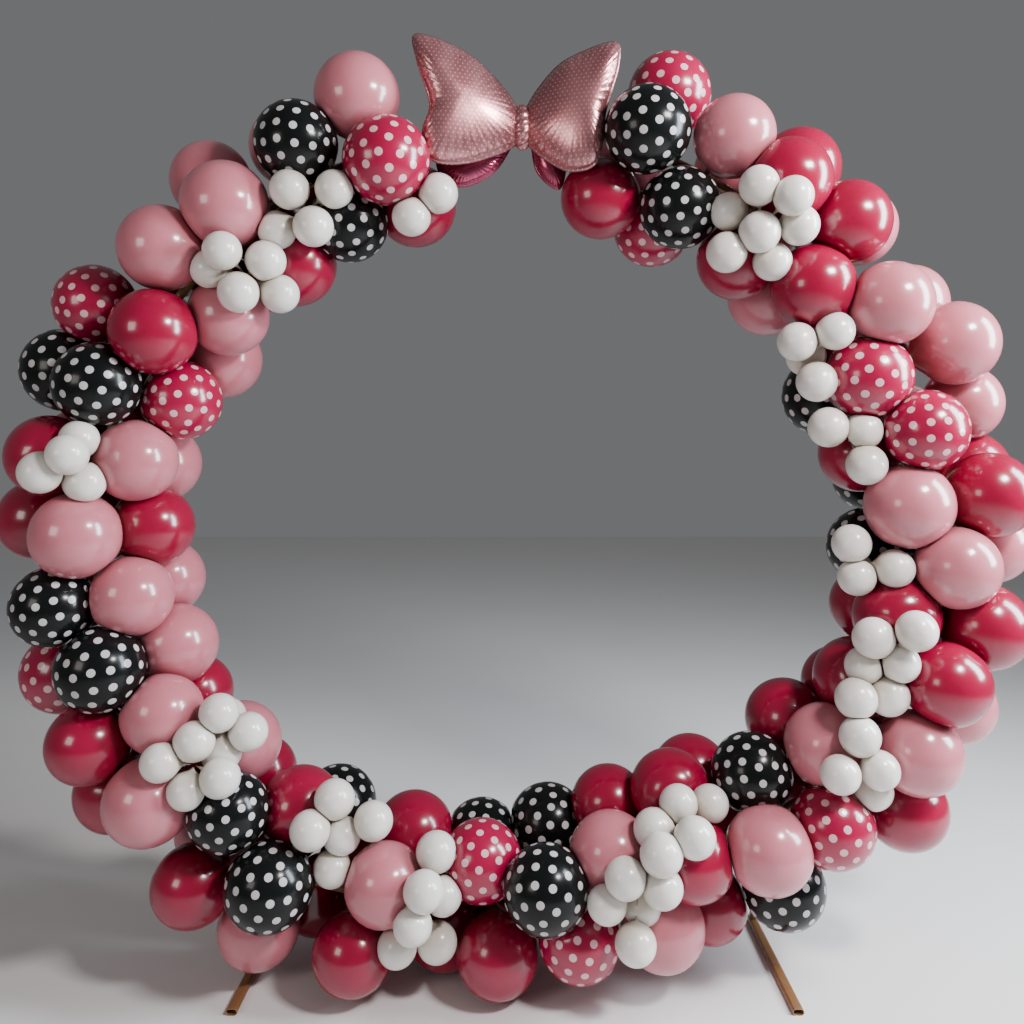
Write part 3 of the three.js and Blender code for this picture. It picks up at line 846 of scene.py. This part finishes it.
def add_lobe(shape, outline, heart, half_depth, sweep, set_back):
    """A puffed lobe: two skins that meet in a flat welded seam, gathered into small folds beside it."""
    made = bmesh.ops.create_uvsphere(shape, u_segments=180, v_segments=40, radius=1)["verts"]
    ways = np.array([corner.co for corner in made])
    from_seam = 1 - 2 * np.arccos(np.clip(ways[:, 2], -1, 1)) / math.pi
    turn = np.arctan2(ways[:, 1], ways[:, 0])
    rim = smooth_rim(outline, (turn / math.tau) % 1)
    heart = np.array(heart) / 1000
    arms = rim - heart
    rise = np.clip((np.abs(from_seam) - seam_share) / (1 - seam_share), 0, 1) * math.pi / 2
    flange = np.clip(1 - np.abs(from_seam) / seam_share, 0, 1)
    out = np.cos(rise) + flange * seam_width / np.linalg.norm(arms, axis=1)
    flat = heart + arms * out[:, None]
    gathers = np.sin(coarse_gathers * turn + 2 * np.sin(3 * turn))
    gathers += 0.7 * np.sin(fine_gathers * turn + 1.5 * np.sin(5 * turn))
    gathers *= np.clip(np.sin(2 * rise), 0, 1) * np.cos(rise) ** 6 * gather_depth
    puff = half_depth * np.sin(rise) + gathers + seam_thickness
    forward = -sweep * np.abs(flat[:, 0]) / rose_reach + set_back
    deep = forward + np.where(from_seam >= 0, puff, -puff)
    for corner, (across, up), depth in zip(made, flat, deep):
        corner.co = (knot_place[0] + across, knot_place[1] + depth, knot_place[2] + up)


def add_knot(shape, place, half_size, pleat_depth):
    """Gathered film: a rounded bundle with pleats that run from the left lobe to the right one."""
    made = bmesh.ops.create_uvsphere(shape, u_segments=96, v_segments=32, radius=1)["verts"]
    for corner in made:
        across, deep, up = corner.co
        round_turn = math.atan2(up, deep)
        pleat = 1 - pleat_depth * (0.5 + 0.5 * math.cos(knot_pleats * round_turn + 3 * across))
        corner.co = (
            place[0] + across * half_size[0],
            place[1] + deep * half_size[1] * pleat,
            place[2] + up * half_size[2] * pleat,
        )


def foil(name, film, deep_film, dullness, dots=None):
    """Metal-coated film: a soft mirror with fine creases, and dots where it is printed."""
    material, shader, shade = new_material(name, {"Coat Weight": 0.4, "Coat Roughness": 0.08})
    where = object_place(shade)
    cloud = noise(shade, where, 14.0)
    colour = cloud.between(0.3, 0.75).mixed(film, deep_film)
    if dots:
        x, y, z = (shade.node("ShaderNodeSeparateXYZ", {}, {0: where}, output=axis) for axis in range(3))
        row_place = z / foil_dot_row
        row = shade.maths("FLOOR", row_place)
        aside = shade.maths("FRACT", x / foil_dot_pitch + row * 0.5) - 0.5
        over = (row_place - row - 0.5) * (foil_dot_row / foil_dot_pitch)
        distance = shade.maths("SQRT", aside * aside + over * over)
        colour = (1 - distance.between(foil_dot_radius, foil_dot_edge)).mixed(colour, dots)
    drive(
        shader,
        Base_Color=colour,
        Metallic=cloud * 0.1 + 0.68,
        Roughness=noise(shade, where, 40.0) * 0.14 + dullness,
        Normal=shade.node("ShaderNodeBump", {}, {
            "Strength": 0.22,
            "Distance": 0.004,
            "Height": noise(shade, where, 18.0, 5.0),
        }),
    )
    return material


rose_foil = foil(
    "dusty_rose_foil", (0.46, 0.19, 0.2, 1), (0.34, 0.12, 0.13, 1), 0.24, dots=(0.74, 0.46, 0.46, 1)
)
magenta_foil = foil("magenta_foil", (0.4, 0.06, 0.13, 1), (0.26, 0.03, 0.075, 1), 0.12)


def bow_piece(name, lobes, gathered, film, node):
    shape = bmesh.new()
    for lobe in lobes:
        add_lobe(shape, *lobe)
    add_knot(shape, *gathered)
    bmesh.ops.recalc_face_normals(shape, faces=shape.faces)
    for face in shape.faces:
        face.smooth = True
    new_piece(name, shape, [film], node)


bow_piece(
    "bow_rose_lobes",
    [
        (rose_left, (-160, 50), rose_half_depth, rose_sweep, 0),
        (rose_right, (150, 40), rose_half_depth, rose_sweep, 0),
    ],
    (knot_place, (0.031, 0.042, 0.064), 0.12),
    rose_foil,
    "bow_front",
)
link_place = (knot_place[0] - 0.002, knot_place[1] + magenta_set_back, knot_place[2] - 0.005)
bow_piece(
    "bow_magenta_lobes",
    [
        (magenta_left, (-150, -85), magenta_half_depth, 0, magenta_set_back),
        (magenta_right, (80, -85), magenta_half_depth, 0, magenta_set_back),
    ],
    (link_place, (0.06, 0.014, 0.02), 0.08),
    magenta_foil,
    "bow_back",
)


# Studio: a plain pale floor, a large soft lamp from the upper right, a cool one from the right side and
# a weak one from the left.
floor_half_width = 12.0


def pale_floor():
    material, shader, shade = new_material("pale_floor", {})
    cloud = noise(shade, object_place(shade), 1.5)
    drive(
        shader,
        Base_Color=cloud.mixed((0.78, 0.77, 0.75, 1), (0.82, 0.81, 0.8, 1)),
        Roughness=cloud * 0.1 + 0.5,
    )
    return material


shape = bmesh.new()
bmesh.ops.create_grid(shape, x_segments=1, y_segments=1, size=floor_half_width)
floor_mesh = bpy.data.meshes.new("floor")
shape.to_mesh(floor_mesh)
shape.free()
floor_mesh.materials.append(pale_floor())
floor = bpy.data.objects.new("floor", floor_mesh)
bpy.context.scene.collection.objects.link(floor)


def soft_lamp(name, place, aim, size, watts, colour):
    lamp = bpy.data.lights.new(name, "AREA")
    lamp.shape = "RECTANGLE"
    lamp.size, lamp.size_y = size
    lamp.energy = watts
    lamp.color = colour
    holder = bpy.data.objects.new(name, lamp)
    holder.location = place
    holder.rotation_euler = (Vector(aim) - Vector(place)).to_track_quat("-Z", "Y").to_euler()
    bpy.context.scene.collection.objects.link(holder)


soft_lamp(
    "lamp_upper_right",
    place=(1.9, -1.8, 3.1),
    aim=(0.2, 0, 1.3),
    size=(0.6, 0.4),
    watts=125,
    colour=(1.0, 0.96, 0.97),
)
soft_lamp(
    "lamp_right_side",
    place=(3.3, -0.7, 2.5),
    aim=(0.8, 0, 1.7),
    size=(0.8, 2.2),
    watts=300,
    colour=(0.84, 0.92, 1.0),
)
soft_lamp(
    "lamp_left",
    place=(-2.8, -3.2, 2.2),
    aim=(-0.4, 0, 1.2),
    size=(1.2, 1.2),
    watts=34,
    colour=(1.0, 0.93, 0.88),
)

world = bpy.data.worlds.new("studio_light")
world.use_nodes = True
glow = world.node_tree.nodes["Background"].inputs
glow["Color"].default_value = (0.93, 0.94, 0.97, 1)
glow["Strength"].default_value = 0.17
bpy.context.scene.world = world
